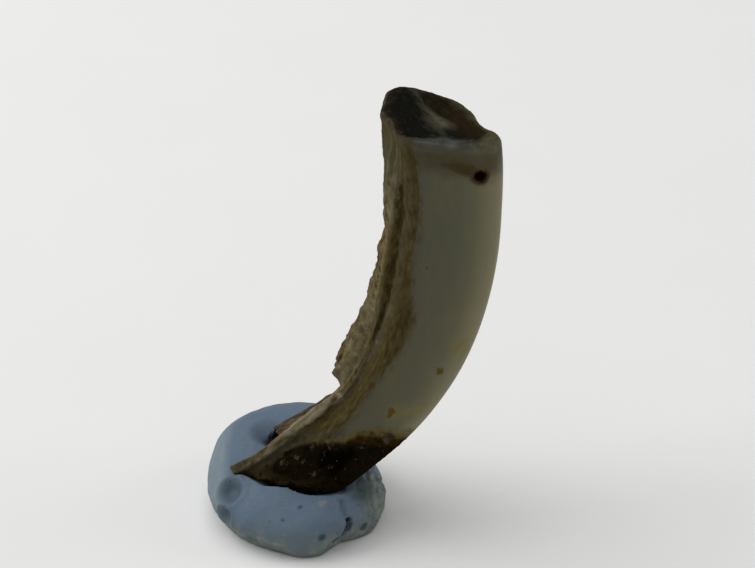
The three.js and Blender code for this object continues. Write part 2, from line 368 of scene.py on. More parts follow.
def ringPoint(inward, across, deg):
    grown = ease(deg, *tooth["widthFade"])
    width = lerp(tooth["rootWidth"], tooth["crownWidth"], grown)
    radius = tooth["bendRadius"] - inward * width / tooth["crownWidth"]
    bend = np.radians(deg)
    return np.stack([
        tooth["bendCentre"][0] + radius * np.sin(bend),
        across * lerp(tooth["rootShrink"], 1, grown),
        tooth["bendCentre"][1] - radius * np.cos(bend),
    ], -1)


def rootDeg(inward):
    return tooth["rootDeg"] - tooth["rootSlant"] * inward / tooth["crownWidth"]


def crownDeg(inward):
    return tooth["crownDeg"] + tooth["crownTilt"] * (inward - core[0]) / tooth["crownWidth"]


def convexFit(inward, deg):  # the convex side narrows to the growing end and straightens to the crown
    (low, *lowDegs), (flare, *flareDegs) = tooth["lowTaper"], tooth["topFlare"]
    swell, middle, reach = tooth["midSwell"]
    taper = low * (1 - ease(deg, *lowDegs)) - flare * ease(deg, *flareDegs)
    taper = taper - swell * hump(deg - middle, reach)
    return inward + taper * np.clip(1 - inward / tooth["convexReach"], 0, 1)


def crownRelief(inward, across):  # mm above the rim's plane
    here = np.stack([core[0] - inward, across - core[1]], -1)
    height, width = tooth["crestRise"]
    rise = height * hump(distanceTo(here, crest), width)
    for at, reach, depth in tooth["crownHollows"]:
        rise = rise - depth * hump(lengths(here - at), reach)
    return rise


def toothRings():
    plain, bevelled, bare = changedOutline({}), changedOutline(crownBevel), changedOutline(underCement)
    count = len(plain)
    stretch = lengths(np.roll(plain, -1, 0) - plain)
    around = np.concatenate([[0], np.cumsum(stretch)[:-1]])
    around = around - around[ridgeCorner * tooth["steps"]]
    around = np.where(around < -stretch.sum() / 2, around + stretch.sum(), around)
    rings = {"inward": [], "across": [], "deg": [], "rim": [], "whole": []}

    def addRing(inward, across, deg, rim, whole):
        for name, values in zip(rings, (inward, across, deg, rim, whole)):
            rings[name].append(np.broadcast_to(values, count).astype(float))

    rows = tooth["rows"]
    endLift = alongLine(tooth["endLift"], around)
    for depth in np.linspace(1, 0, rows["pulp"], endpoint=False):
        at = lerp(core, bare, tooth["pulpShare"] * (1 - depth ** 2))
        addRing(at[:, 0], at[:, 1], lerp(rootDeg(at[:, 0]), tooth["pulpTop"], depth), endRim, 0)
    brokenShare, lastShare = tooth["endShares"]
    for scale in np.linspace(tooth["pulpShare"], lastShare, rows["end"]):
        at = lerp(core, bare, scale)
        deg = rootDeg(at[:, 0]) + endLift * ease(scale, tooth["pulpShare"], brokenShare)
        addRing(convexFit(at[:, 0], deg), at[:, 1], deg, endRim, 0)
    turn = 2 * math.pi * around / stretch.sum()
    swirl = np.stack([np.cos(turn), np.sin(turn), 0 * turn], -1) * stretch.sum() / (2 * math.pi)
    torn = growing(around, *tooth["cementTear"])
    cementEnd = tooth["cementEnd"] + torn * lumps(swirl, 1.6, 1) + 0.5 * lumps(swirl, 0.6, 2)
    coat = np.clip((plain[:, 0] - bare[:, 0]) / tooth["cementThick"], 0, 1)
    rootEdge = rootDeg(bare[:, 0]) + endLift + 0.3 * lumps(swirl, 1.1, 3)  # a little ragged
    ridged = between(around, *tooth["heelReach"])
    farther = between(around, *tooth["farReach"])
    fillet = alongLine(tooth["rimRadius"], around)
    reach = lengths(bevelled - core)

    def rounded(edge, rim):  # a sharp rim's outline and height, made round
        turned = (1 + np.clip(rim / fillet, -1, 1)) * math.pi / 4
        inset = fillet * (1 - np.cos(turned)) + np.maximum(rim - fillet, 0)
        drop = fillet * (np.sin(turned) - 1) + np.minimum(rim + fillet, 0)
        return lerp(edge, core, (inset / reach)[:, None]), drop / degree

    dip = alongLine(tooth["rimDip"], around) / degree
    topEdge = crownDeg(bevelled[:, 0]) - dip
    for part in np.linspace(0, 1, rows["wall"]):
        deg = lerp(rootEdge, topEdge, part)
        whole = ease(deg, cementEnd - tooth["cementBreak"], cementEnd)
        edge = lerp(plain, bevelled, ease(deg, *tooth["bevelFade"])[:, None])
        rim = (deg - topEdge) * degree
        edge, drop = rounded(edge, rim)
        inward = lerp(bare[:, 0], edge[:, 0] + coat * alongLine(tooth["cementSwell"], deg), whole)
        inward = inward + ridged * alongLine(tooth["heelLift"], deg)
        inward = inward + farther * alongLine(tooth["farLift"], deg)
        across = lerp(bare[:, 1], edge[:, 1], whole)
        deg = topEdge + drop
        addRing(convexFit(inward, deg), across, deg, rim, whole * coat)
    for inset in np.linspace(0, 1, rows["crown"] + 1)[1:] ** 1.15:  # closer at the rim
        rim = inset * reach
        at, drop = rounded(bevelled, rim)
        rise = ease(inset, *tooth["reliefFade"]) * crownRelief(at[:, 0], at[:, 1]) / degree
        deg = crownDeg(at[:, 0]) + rise + drop - dip * (1 - ease(inset, *tooth["dipFade"]))
        addRing(convexFit(at[:, 0], deg), at[:, 1], deg, rim, 1)
    rings = {name: np.array(values) for name, values in rings.items()}
    rings["around"] = np.broadcast_to(around, rings["deg"].shape)
    rings["swirl"] = np.broadcast_to(swirl, rings["deg"].shape + (3,))
    return rings


def linesAt(deg):
    return {name: alongLine(corners, deg) for name, corners in toothLines.items()}


def toothFields(rings):  # mm inside each marking, negative outside it
    deg, around, rim = rings["deg"], rings["around"], rings["rim"]
    line = linesAt(deg)
    onWall, onCrown = (rim <= 0) & (rim > endRim), rim > 0
    flat = np.stack([deg * degree, around], -1)
    uneven = lumps(np.concatenate([rings["swirl"][..., :2], flat[..., :1]], -1), 1.7, 30)
    here = np.stack([core[0] - rings["inward"], rings["across"] - core[1]], -1)
    off, run = here - crest[0], np.subtract(crest[-1], crest[0])
    stain = np.where(onWall, (alongLine(stainTop, around) - deg) * degree, outside)
    measured = rings | {
        "fromRidge": around - line["ridge"],
        "fromGroove": around - line["groove"],
        "fromStripe": around - line["stripe"],
        "fromEdge": around - line["edge"],
        "stain": stain,
        "unevenDeg": deg + 5 * uneven,
        "tornDeg": deg - 0.9 / degree * uneven,
        "lift": (deg - rootDeg(rings["inward"])) * degree,
        "aboveEnd": (deg - deg[tooth["rows"]["pulp"] + tooth["rows"]["end"]]) * degree,
        "shade": alongLine(shadeReach, around),
        "farSide": (off[..., 1] * run[0] - off[..., 0] * run[1]) / np.linalg.norm(run),  # of the crest
        "pastRim": rim - alongLine(rimDepth, around),
        "pastCorner": rim - alongLine(cornerDepth, around),
    }

    def marksIn(marks):
        return np.max([r - lengths(flat - (d * degree, s)) for d, s, r in marks], 0)

    def rampsIn(ramps):
        return np.min([(measured[name] - zero) * rate for name, zero, rate in ramps], 0)

    fields = {name + "In": marksIn(marks) for name, marks in toothMarks.items()}
    fields |= {name: rampsIn(ramps) for name, ramps in rampedMarks.items()}
    tail = [(d * degree, s) for d, s in spotTail]
    ridged = growing(deg, *halfWidths["ridge"]) - np.abs(measured["fromRidge"])
    ridged = ridged - 0.8 * ease(deg, 87, 96)  # gone near the crown
    stripped = line["stripWidth"] - np.abs(around - line["strip"])
    fields |= {
        # pale enamel, partly painted light towards the convex side
        "paleIn": alongLine(palenessAndPaintedLight, around),
        "tailIn": growing(around, *halfWidths["tail"]) - distanceTo(flat, tail),
        "stripeIn": growing(deg, *halfWidths["stripe"]) - np.abs(measured["fromStripe"]),
        "ridgeIn": np.minimum((deg - 47) * 0.2, ridged),
        "grooveIn": line["grooveWidth"] - np.abs(measured["fromGroove"]) - 0.3 * (1 - line["grooveShown"]),
        "stripIn": np.minimum(stripped, (48.5 - deg) * degree),
        "stainIn": stain,
        "soilIn": np.minimum(stain - 0.3, 0.35),
        "wispIn": fields["wispIn"].clip(outside, 0.3),
        "wornIn": np.where(onCrown, rim - 0.1, np.where(onWall, rim, outside)),
        "crestIn": growing(here[..., 1], *halfWidths["crest"]) - distanceTo(here, crest),
        "fleckIn": alongLine(fleckBand, around) - 0.1 * np.abs(rim - 1.5),
        "pulpIn": np.where(rim == endRim, 1.0, -1.0),
    }
    for names, there in ((onlyOnWall, onWall), (onlyOnCrown, onCrown)):
        fields |= {name: np.where(there, fields[name], outside) for name in names}
    clump = ease(marksIn([(d, s, chalkClump) for d, s, r in toothMarks["chalk"]]), 0, chalkClump)
    specks = ease(stain, -0.6, 0.2) * (0.2 + 0.6 * clump) * (around > 0.9)  # share of the grains' density
    fields["speckle"] = np.where(onWall, specks, 0)
    fields["grit"] = np.where(onWall, ease(fields["crustIn"], 0, 0.4) * (1 - ease(deg, 80, 88)), 0)
    return fields


def toothRaise(rings, fields, points):  # mm that the surface stands proud of the plain form
    deg, around, rim = rings["deg"], rings["around"], rings["rim"]
    line = linesAt(deg)
    share = {name: ease(values, -0.15, 0.25) for name, values in fields.items() if name.endswith("In")}

    def grain(name):
        total = 0
        for height, length, width, seed in toothGrain[name]:
            place = [deg[..., None] * degree / length, rings["swirl"][..., :2] / width]
            total = total + height * lumps(np.concatenate(place, -1), 1, seed)
        return total

    def onLine(name):
        height, width = lineRelief[name]
        return height * hump(around - line[name], width)

    relief = {name: layeredLumps(points, kinds) for name, kinds in toothRelief.items()}
    pitted = np.abs(layeredLumps(points, toothPits))
    proud = share["crustIn"] * (relief["crust"] - pitted + 0.05) * growing(deg, 1.15, 0.35, 84, 97)
    proud += onLine("ridge") * ease(deg, 44, 56) + onLine("groove") * line["grooveShown"] + onLine("stripe")
    proud += share["ridgeIn"] * (grain("ridge") + relief["ridge"])
    proud -= share["bandIn"] * (1 - share["crustIn"]) * (0.03 + relief["band"])
    proud += share["heelIn"] * grain("heel") + (1 - share["bandIn"]) * grain("enamel")
    proud += share["barkIn"] * (relief["bark"] - np.abs(grain("bark"))) + share["stainIn"] * relief["stain"]
    proud += sum(height * share[name] for name, height in markRelief.items())
    proud = lerp(np.where(rim == endRim, 0, proud), relief["crown"], ease(rim, -0.4, 0.4))
    return proud - relief["rim"] * hump(rim, 0.5)


def buildTooth(materials):
    rings = toothRings()
    points = ringPoint(rings["inward"], rings["across"], rings["deg"])
    fields = toothFields(rings)
    fields["pitIn"] = np.minimum(lumps(points * (1, 1, 0.7), 0.8, 29) - 0.3, fields["crustIn"])
    outward = np.cross(np.roll(points, -1, 1) - np.roll(points, 1, 1), np.gradient(points, axis=0))
    outward /= np.maximum(np.linalg.norm(outward, axis=-1, keepdims=True), 1e-9)
    points = points + outward * toothRaise(rings, fields, points)[..., None]
    fields["place"] = np.concatenate([rings["deg"][..., None] * degree, rings["swirl"][..., :2]], -1)
    points, faces = closedGrid(points)
    packed = {}
    for name, values in fields.items():
        values = closedGrid(values.reshape(rings["deg"].shape + (-1,)))[0]
        packed[name] = values if values.shape[1] == 3 else values[:, 0]
    piece = newPiece("toothBody", points, faces, packed, materials)
    matt = np.max([packed[name] for name in ("bandIn", "stainIn", "wornIn", "spotIn", "pulpIn")], 0) > 0
    piece.data.polygons.foreach_set("material_index", [int(matt[face].all()) for face in faces])
    return piece


# coats are painted over each other: a field gives the mm inside the edge, and two colours mottle
def layCoat(tree, noise, under, field, edge, wander, colours, rough, grain, cover=1,
            edgeNoise="mottle", mottle="mottle"):
    inside = addNode(tree, "ShaderNodeAttribute", attribute_name=field).outputs["Fac"]
    stray = addMath(tree, "MULTIPLY_ADD", noise[edgeNoise], 2 * wander, -wander)
    mask = addNode(tree, "ShaderNodeMapRange", {
        "Value": addMath(tree, "ADD", inside, stray),
        "From Min": edge[0], "From Max": edge[1], "To Max": cover,
    }, interpolation_type="SMOOTHSTEP")
    paint = mixColours(tree, noise[mottle], *colours)
    return (
        mixColours(tree, mask, under[0], paint),
        addNode(tree, "ShaderNodeMix", {0: mask, 2: under[1], 3: rough}),
        addNode(tree, "ShaderNodeMix", {0: mask, 2: under[2], 3: grain}),
    )


def makeNoise(tree, kinds):  # name: (coordinates, size in mm along each axis, degrees turned about Z)
    millimetres = addNode(tree, "ShaderNodeVectorMath", {
        0: addNode(tree, "ShaderNodeTexCoord").outputs["Object"], "Scale": 1 / metre,
    }, operation="SCALE")
    along = addNode(tree, "ShaderNodeAttribute", attribute_name="place").outputs["Vector"]
    noise = {}
    for name, (source, size, *turn) in kinds.items():
        where = addNode(tree, "ShaderNodeMapping", {
            "Vector": along if source == "along" else millimetres,
            "Scale": size, "Rotation": (0, 0, math.radians(sum(turn))),
        }, vector_type="TEXTURE")
        cloud = addNode(tree, "ShaderNodeTexNoise", {
            "Vector": where, "Scale": 1, "Detail": 4, "Roughness": 0.6,
        })
        noise[name] = addNode(tree, "ShaderNodeMapRange", {
            "Value": cloud, "From Min": 0.33, "From Max": 0.67,  # the noise's usual range
        })
    return noise


def newMaterial(name):
    material = bpy.data.materials.new(name)
    material.use_nodes = True
    material.node_tree.nodes.clear()
    return material, material.node_tree


def finishMaterial(tree, colour, rough, grain, bumps, shine):
    height = 0
    for cloud, weight in bumps:
        height = addMath(tree, "MULTIPLY_ADD", cloud, weight, height)
    height = addMath(tree, "MULTIPLY", addMath(tree, "MULTIPLY", height, grain), metre)
    bump = addNode(tree, "ShaderNodeBump", {"Height": height, "Distance": 1, "Strength": 1})
    skin = addNode(tree, "ShaderNodeBsdfPrincipled", {
        "Base Color": colour, "Roughness": rough, "Normal": bump.outputs["Normal"],
        "IOR": 1.5, "Specular IOR Level": shine,
    })
    addNode(tree, "ShaderNodeOutputMaterial", {"Surface": skin})


toothCoats = [  # field, edge, wander, colours, roughness, grain, cover, noises of the edge and the colours
    ("shadeIn", (-0.7, 1.1), 0.4, ("#393119", "#40381d"), 0.45, 0.006, 0.85, "blotch"),
    ("yellowIn", (-0.7, 0.6), 0.35, ("#7f7638", "#6d6334"), 0.45, 0.006, 0.55),
    ("freckleIn", (-0.2, 0.12), 0.12, ("#5c4906", "#4e3b00"), 0.5, 0.01),
    ("tailIn", (-0.4, 0), 0.2, ("#312600", "#3d3000"), 0.5, 0.01),
    ("spotIn", (-0.35, 0.05), 0.1, ("#4f3800", "#442f00"), 0.55, 0.02),
    ("bandIn", (-0.6, 0.5), 0.25, ("#544a2d", "#392f19"), 0.75, 0.04, 0.95, "mixed", "mixed"),
    ("stripeIn", (-0.35, 0.35), 0.35, ("#575243", "#3f3826"), 0.7, 0.03, 0.7, "mixed", "mixed"),
    ("crustIn", (-0.3, 0.35), 0.25, ("#74694c", "#443923"), 0.9, 0.1),
    ("pitIn", (-0.25, 0.25), 0.2, ("#4d4027", "#372b16"), 0.95, 0.1, 0.75, "grit"),
    ("paleFlankIn", (-0.3, 0.6), 0.3, ("#7f7a65", "#605944"), 0.8, 0.04, 0.7, "mottle", "streak"),
    ("flankIn", (-0.3, 0.6), 0.2, ("#544e3b", "#433c2a"), 0.7, 0.03, 0.9, "mottle", "streak"),
    ("heelIn", (-0.3, 0.4), 0.2, ("#aba18b", "#75684f"), 0.8, 0.05, 1, "mottle", "fibre"),
    ("heelEdgeIn", (-0.3, 0.3), 0.15, ("#807862", "#5e553f"), 0.75, 0.04, 0.75, "mottle", "fibre"),
    ("tipIn", (-1, 1), 0.2, ("#6a5f47", "#43381f"), 0.8, 0.05, 0.75, "mottle", "fibre"),
    ("barkIn", (-0.2, 0.2), 0.15, ("#685c49", "#2f261b"), 0.9, 0.08, 1, "mixed", "mixed"),
    ("ridgeIn", (-0.5, 0.4), 0.3, ("#837859", "#4b4028"), 0.65, 0.03, 0.85, "mixed"),
    ("wispIn", (-0.2, 1.1), 0.75, ("#857f69", "#6d6651"), 0.9, 0.05, 0.5, "mixed"),
    ("hollowIn", (-0.2, 0.12), 0.14, ("#33280f", "#221808"), 0.95, 0.05, 0.85, "grit"),
    ("seamIn", (-0.25, 0.2), 0.15, ("#4a3d24", "#3a2e19"), 0.85, 0.04, 0.8, "mixed"),
    ("grooveIn", (-0.16, 0.12), 0.22, ("#3c321d", "#2c2311"), 0.9, 0.05, 0.85, "mixed"),
    ("haloIn", (-0.8, 0.4), 0.25, ("#5c4d1c", "#4c3d12"), 0.6, 0.02, 0.92),
    ("stainIn", (-0.6, 0.7), 0.4, ("#140d06", "#040202"), 0.8, 0.05, 0.97, "mottle", "blotch"),
    ("emberIn", (-0.5, 0.5), 0.3, ("#3c2c0c", "#291c08"), 0.8, 0.05, 0.8),
    ("soilIn", (-0.3, 1.2), 0.9, ("#332b1a", "#140e07"), 0.85, 0.05, 0.55),
    ("murkIn", (-0.8, 0.5), 0.35, ("#0b0602", "#040201"), 0.8, 0.05, 0.9),
    ("rustIn", (-0.8, 0.9), 0.6, ("#403823", "#1c1409"), 0.8, 0.05, 0.85),
    # painted shadow of the gap between the tooth's end and the putty
    ("endGapShadowIn", (-0.4, 0.3), 0.25, ("#0d0904", "#060401"), 0.85, 0.05, 0.9),
    ("stripIn", (-0.35, 0.35), 0.3, ("#454336", "#343021"), 0.75, 0.04, 0.85),
    ("chalkIn", (-0.14, 0.14), 0.22, ("#555448", "#403d31"), 0.85, 0.05, 0.65, "grit"),
    ("spotIn", (-0.2, 0.3), 0.06, ("#080200", "#0e0501"), 0.6, 0.03),
    ("wornIn", (-0.6, 0.9), 0.35, ("#1a1a17", "#0d0d0b"), 0.85, 0.03, 1, "mottle", "scrape"),
    ("farIn", (-0.6, 1.0), 0.3, ("#2a2216", "#1c150c"), 0.85, 0.03, 1, "mottle", "scrape"),
    ("crestIn", (-0.8, 0.6), 0.42, ("#6b6753", "#3a3830"), 0.75, 0.03, 0.85, "scrape", "scrape"),
    ("fleckIn", (0, 0.95), 0.6, ("#45453f", "#33322c"), 0.7, 0.03, 0.5, "scrape"),
    ("sootIn", (-0.5, 0.8), 0.3, ("#261d1b", "#150f0f"), 0.85, 0.03, 0.75, "mottle", "scrape"),
    ("rimIn", (-0.7, 0.8), 0.3, ("#505350", "#403f39"), 0.5, 0.01, 0.85),
    ("cornerIn", (-0.5, 0.5), 0.2, ("#5a5641", "#4c4733"), 0.5, 0.01, 0.9),
    ("pulpIn", (-0.2, 0.2), 0.05, ("#1f180d", "#120d07"), 0.9, 0.05),
]


def toothFinish(name, shine):  # grey-cream enamel under cement, stains and wear
    material, tree = newMaterial(name)
    noise = makeNoise(tree, {
        "blotch": ("mm", [2.6] * 3),
        "mottle": ("mm", [0.7] * 3),
        "grit": ("mm", [0.22] * 3),
        "streak": ("along", (5, 0.32, 0.32)),
        "mixed": ("along", (1.1, 0.4, 0.4)),
        "fibre": ("along", (4, 0.2, 0.2)),
        "cloud": ("along", (5, 2.2, 2.2)),
        "scrape": ("mm", (1.8, 0.34, 0.6), -59),
    })
    base = mixColours(tree, noise["cloud"], "#494a3b", "#555139")
    pale = addNode(tree, "ShaderNodeAttribute", attribute_name="paleIn").outputs["Fac"]
    # pale tone of the enamel, partly painted light towards the convex side
    base = mixColours(tree, pale, base, "#8a8466")
    hair = addNode(tree, "ShaderNodeMapRange", {"Value": noise["streak"], "To Min": 0.975, "To Max": 1.02})
    base = mixColours(tree, 1, base, hair, "MULTIPLY")
    skin = (base, 0.42, 0.006)  # colour, roughness, grain in mm
    for coat in toothCoats:
        skin = layCoat(tree, noise, skin, *coat)
    finishMaterial(tree, *skin, [(noise["mottle"], 0.6), (noise["grit"], 0.4)], shine)
    return material


putty = {
    "half": (7.4, 8.1, 4.15),
    "middle": (0, 0.3, 1.5),
    "squareness": 0.6,
    "backRise": 0.27,
    "socketGrowth": 1.012,
    "socketGrip": 0.95,  # on the concave side the putty touches the tooth
    "gripEdge": (3.5, 5),  # mm in from the convex side
    "socketDrop": 0.5,  # degrees of bend
    "socketFill": (2.6, (4.5, 6), (-1, 0)),  # degrees less deep under the far lobe, mm in and across there
    "frontGap": (0.31, 1.8, 3),  # mm, and mm across over which it opens
    "socketTop": 72,
    "rows": 90,
    "columns": 150,
    "socketRows": 30,
    "voxel": 0.12,  # mm, size of the faces
    "softening": (0.5, 10),  # factor and rounds of the smoothing
    "foot": [  # line where it meets the table: degrees round, mm from the middle
        (172, 7.3), (185, 6.9), (198, 6.45), (212, 6.35), (231, 6.38), (251, 6.5), (262, 6.75), (274, 7.3),
        (287, 7.4), (296, 6.85), (306, 6.44), (316, 6.95), (328, 7.4), (349, 7.3), (367, 7.6),
    ],
    "footFade": 2.6,  # mm above the table
    "footGrowth": 1.04,  # at most
    "facet": ((-5.9, 1.9, 5.6), (-0.9, -0.1, 0.42), 0.75),  # pressed flat: point, direction, share
    "marks": [  # where, how wide, how deep; a bulge is negative
        ((-1.4, -4.8, 4.7), 1.2, -0.25), ((-3.6, -6.6, 4.4), 1, -0.3), ((7.2, -2.2, 2.6), 2, -0.3),
        ((-6.2, 4, 5), 2.4, -0.35), ((7.4, 1.8, 4), 1.7, 0.7),
    ],
    "relief": [(0.11, 3.2, 21), (0.04, 1.2, 22), (0.012, 0.45, 23)],  # lumps: mm high, mm wide, seed
    "skinDepth": (0.15, 0.6),  # mm below the skin over which marks fade out
    "dentEdge": (0.25, 1),  # radii over which a dent ends
    "lipRing": (1.06, 0.12),  # radii: middle and reach of its lip
    "dents": [  # thumb dents: where, radius, depth, lip; those with a lip are also painted darker as shade
        ((-4.95, -3.3, 3.5), 1.4, 0.65, 0.1), ((-5.2, -4.4, 2.4), 1, 0.55, 0.1),
        ((-2.1, 2.3, 6.6), 2, 0.4, 0), ((-2.9, -6.2, 2.2), 1.3, 0.26, 0.03),
        ((-3.6, -6.2, 0.9), 1, 0.24, 0.03), ((1.2, -7, 1.4), 1.6, -0.15, 0),
    ],
    "creases": [  # corners, width, depth; the deeper ones are painted dark as shade
        ([(3.9, -4.8, 3.8), (4.1, -5.4, 3.3), (4.35, -5.8, 2.7)], 0.16, 0.25),
        ([(4.5, -5.7, 2.7), (4.15, -6.0, 2.2), (3.95, -6.1, 1.9)], 0.13, 0.55),
        ([(4.2, -6.1, 2.0), (3.7, -6.3, 1.5), (3.3, -6.4, 1.05)], 0.12, 0.5),
        ([(4.55, -5.75, 2.3), (4.5, -5.9, 1.7)], 0.12, 0.4),
        ([(-4.5, -2.5, 4.7), (-4.05, -3.3, 4.2), (-4.3, -4.2, 3.1)], 0.12, -0.1),
    ],
    "creaseWobble": [(0.06, 0.4, 24)],
    "soiled": ((7.2, -2.6, 3.2), (1.6, 2.4, 1.9)),  # middle and reach of the ridged, dirty side
    "wrinkles": [(0.32, 1, 25)],  # lumps on that side, drawn out upwards
    "wrinkleSquash": (2.2, 1.6, 0.5),
    "fineWrinkles": [(0.15, 0.5, 26)],
    "smudges": [  # where, radius
        ((2.37, -7.18, 2.06), 0.3), ((5.85, -4.73, 1.28), 0.35), ((0.57, -5.67, 3.77), 0.12),
        ((-0.8, -6.6, 3.2), 0.12),
    ],
    "smear": ((2.4, -5.2, 3.8), 0.28),
    "dirtyFoot": (0.4, 2.4),  # mm above the table over which the dirt ends
    "dustTop": 2.9,
    "paleSide": (-6.6, 0.2),  # x below which it is pale, and mm gained for each mm up
    "funnel": ((-1.7, 1.8, 5.9), 0.75, 1),  # where the putty sinks in beside the far lobe's end; the hole there is also painted dark as shade
    "damp": ((5.5, -3.4, 3.9), 1.1),  # painted shade cast by the tooth on the putty beside its base: where, radius
}


def puttyRings():
    tilt = np.linspace(math.pi, 0, putty["rows"])[:, None]
    turn = np.linspace(0, 2 * math.pi, putty["columns"], endpoint=False)[None]
    outward = [np.sin(tilt) * np.cos(turn), np.sin(tilt) * np.sin(turn), np.cos(tilt) + 0 * turn]
    outward = np.stack(outward, -1)
    flat = np.maximum(np.linalg.norm(outward[..., :2], axis=-1, keepdims=True), 1e-9)
    squared = np.sign(outward[..., 2:]) * np.abs(outward[..., 2:]) ** putty["squareness"]
    points = np.concatenate([outward[..., :2] / flat * flat ** putty["squareness"], squared], -1)
    rise = 1 + putty["backRise"] * points[..., 1]
    points = points * putty["half"] + putty["middle"]
    points[..., 2] *= rise
    for at, reach, depth in putty["marks"]:
        points = points - outward * (depth * hump(lengths(points - at), reach))[..., None]
    at, away, share = (np.array(value, float) for value in putty["facet"])
    away /= np.linalg.norm(away)
    points = points - np.maximum((points - at) @ away, 0)[..., None] * away * share
    points[..., 2] = np.maximum(points[..., 2], 0)
    radius = lengths(points[..., :2])
    angle = np.degrees(np.arctan2(points[..., 1], points[..., 0]))
    angle = np.where(angle < 90, angle + 360, angle)
    grounded = np.where(points[..., 2] < 0.05, radius, 0).max(0)
    first, last = putty["foot"][0][0], putty["foot"][-1][0]
    wanted = np.where((angle > first) & (angle < last), alongLine(putty["foot"], angle) / grounded, 1)
    low = 1 - ease(points[..., 2], 0, putty["footFade"])
    points[..., :2] *= lerp(1, np.minimum(wanted, putty["footGrowth"]), low)[..., None]
    return points


def socketRings():
    edge = changedOutline(underCement)
    snug = growing(edge[:, 0], putty["socketGrowth"], putty["socketGrip"], *putty["gripEdge"])
    edge = lerp(core, edge, snug[:, None])
    gap, *opening = putty["frontGap"]
    edge[:, 1] -= gap * ease(-edge[:, 1], *opening)
    fill, within, across = putty["socketFill"]
    bottom = rootDeg(edge[:, 0]) - putty["socketDrop"]
    bottom = bottom + fill * ease(edge[:, 0], *within) * ease(edge[:, 1], *across)
    rings = []
    for part in np.linspace(0, 1, putty["socketRows"]):
        deg = lerp(bottom, putty["socketTop"], part)
        rings.append(ringPoint(convexFit(edge[:, 0], deg), edge[:, 1], deg))
    ends = [np.repeat(ring.mean(0)[None], len(edge), 0) for ring in (rings[0], rings[-1])]
    return np.array([ends[0], *rings, ends[1]])


def pressedLump():  # with the tooth's socket, in even small faces; depth is mm below the skin
    lumpPoints, lumpFaces = closedGrid(puttyRings())
    lump = newPiece("lump", lumpPoints, lumpFaces, unit=1)
    socket = newPiece("socket", *closedGrid(socketRings()), unit=1)
    cut = lump.modifiers.new("socket", "BOOLEAN")
    cut.object, cut.operation, cut.solver = socket, "DIFFERENCE", "EXACT"
    even = lump.modifiers.new("even", "REMESH")
    even.mode, even.voxel_size = "VOXEL", putty["voxel"]
    soft = lump.modifiers.new("soft", "SMOOTH")
    soft.factor, soft.iterations = putty["softening"]
    mesh = bpy.data.meshes.new_from_object(lump.evaluated_get(bpy.context.evaluated_depsgraph_get()))
    points, normals = np.zeros((2, len(mesh.vertices) * 3), np.float32)
    mesh.vertices.foreach_get("co", points)
    mesh.vertex_normals.foreach_get("vector", normals)
    faces = [list(face.vertices) for face in mesh.polygons]
    for piece in (lump, socket):
        bpy.data.objects.remove(piece)
    skin = BVHTree.FromPolygons(lumpPoints.tolist(), lumpFaces)
    points = points.reshape(-1, 3).astype(float)
    depth = np.array([skin.find_nearest(point)[3] for point in points.tolist()])
    return points, normals.reshape(-1, 3).astype(float), faces, depth


def buildPutty(material):
    points, normals, faces, depth = pressedLump()
    shown = 1 - ease(depth, *putty["skinDepth"])
    surface = BVHTree.FromPolygons(points.tolist(), faces)

    def onSurface(place):
        return np.array(surface.find_nearest(place)[0])

    proud = layeredLumps(points, putty["relief"])
    dentShade = np.full(len(points), float(outside))
    ring, ringReach = putty["lipRing"]
    for at, radius, press, lip in putty["dents"]:
        off = lengths(points - onSurface(at)) / radius
        proud -= press * (1 - ease(off, *putty["dentEdge"])) - lip * hump(off - ring, ringReach)
        # painted shade inside the dents that have a lip
        dentShade = np.maximum(dentShade, np.where(lip > 0.05, (0.9 - off) * radius, outside))
    crackShadeAndSmudge = np.full(len(points), -1.0)
    wobbly = points + layeredLumps(points, putty["creaseWobble"])[:, None]
    for line, width, press in putty["creases"]:
        away = distanceTo(wobbly, [onSurface(at) for at in line])
        proud -= press * hump(away, width) - 0.25 * press * hump(away - 2.6 * width, width)
        # painted shade along the deeper creases
        crackShadeAndSmudge = np.maximum(crackShadeAndSmudge, np.where(press > 0.28, width + 0.05 - away, -1))
    for at, radius in putty["smudges"]:
        crackShadeAndSmudge = np.maximum(crackShadeAndSmudge, 0.5 * (radius - lengths(points - onSurface(at))))
    middle, reach = putty["soiled"]
    soiled = hump(lengths((points - middle) / reach), 1)
    wrinkles = layeredLumps(points * putty["wrinkleSquash"], putty["wrinkles"])
    proud += soiled * (wrinkles + layeredLumps(points, putty["fineWrinkles"]))
    at, reach, sink = putty["funnel"]
    funnel = lengths((points - at)[:, :2]) + 9 * (points[:, 2] < 3)
    # painted shade cast by the tooth beside its base
    at, radius = putty["damp"]
    damp = radius - lengths(points - onSurface(at))
    points = points + normals * (proud * lerp(0.2, 1, shown) * ease(points[:, 2], 0.02, 0.6))[:, None]
    points[:, 2] -= sink * hump(funnel, reach) * shown
    points[:, 2] = np.maximum(points[:, 2], 0)
    low = 1 - ease(points[:, 2], *putty["dirtyFoot"])
    at, reach = putty["smear"]
    smear = hump(lengths(points - onSurface(at)), reach)
    side, slant = putty["paleSide"]
    fields = {
        "grimeIn": 0.82 * low + 1.1 * soiled + 1.1 * smear - 0.6,
        "dustIn": putty["dustTop"] - points[:, 2],
        "paleIn": side - points[:, 0] + slant * points[:, 2],
        "dentIn": dentShade,
        "crackIn": crackShadeAndSmudge,
        "dampIn": damp,
        # painted shade deep in the socket and in the hole beside the far lobe's end
        "socketIn": np.maximum(depth - 0.3, 0.5 * (0.85 - funnel)),
        "crumbs": shown * ease(points[:, 2], 0.3, 1) * (0.2 + soiled + smear),
        "place": points,
    }
    return newPiece("puttyLump", points, faces, fields, [material])


